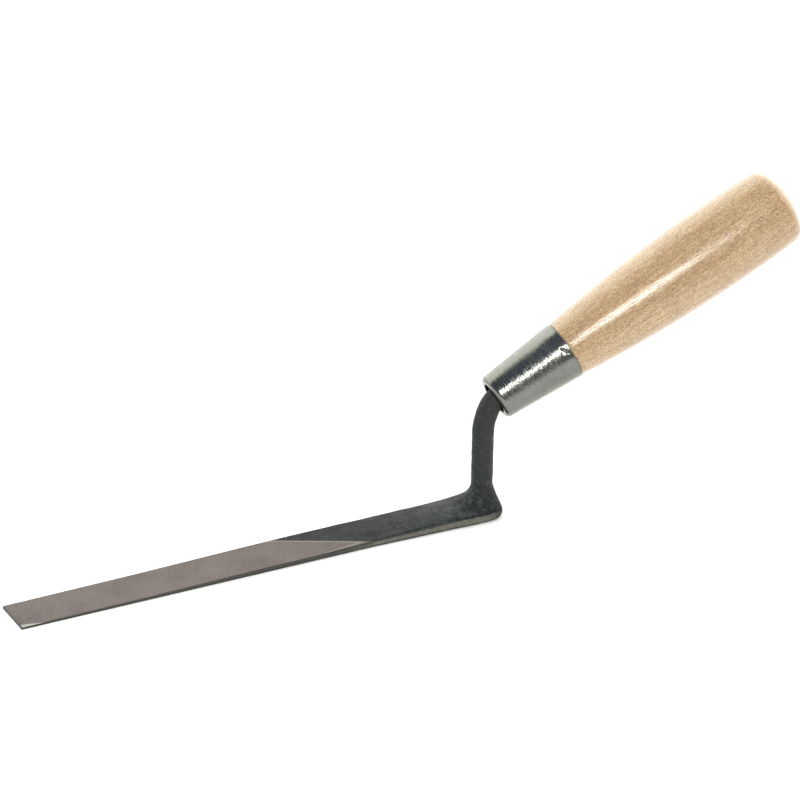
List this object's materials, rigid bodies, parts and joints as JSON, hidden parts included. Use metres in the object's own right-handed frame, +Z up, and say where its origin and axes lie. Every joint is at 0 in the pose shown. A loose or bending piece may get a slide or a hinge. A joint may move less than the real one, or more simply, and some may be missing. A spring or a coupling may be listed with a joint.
{
  "type": "tuck pointer",
  "caption": "Narrow flat pointing trowel for pushing mortar into brick joints: forged steel blade and cranked shank, steel ferrule and turned wooden handle.",
  "frame": {"origin": "on the sole, the flat underside of the blade, below the middle of the upright shank", "axes": "+X from the blade's tip towards the handle, +Y across the blade, +Z up from the sole along the upright shank"},
  "size_m": [0.3003, 0.0292, 0.1077],
  "materials": {
    "forged_steel": "dark forging scale, with the front of the blade's upper face ground bright",
    "plated_steel": "bright plated steel, finely brushed round",
    "lacquered_wood": "clear lacquer over pale close-grained hardwood"
  },
  "bodies": {
    "root": {"blade_forging": "forged_steel", "ferrule": "plated_steel", "handle": "lacquered_wood"}
  },
  "joints": []
}
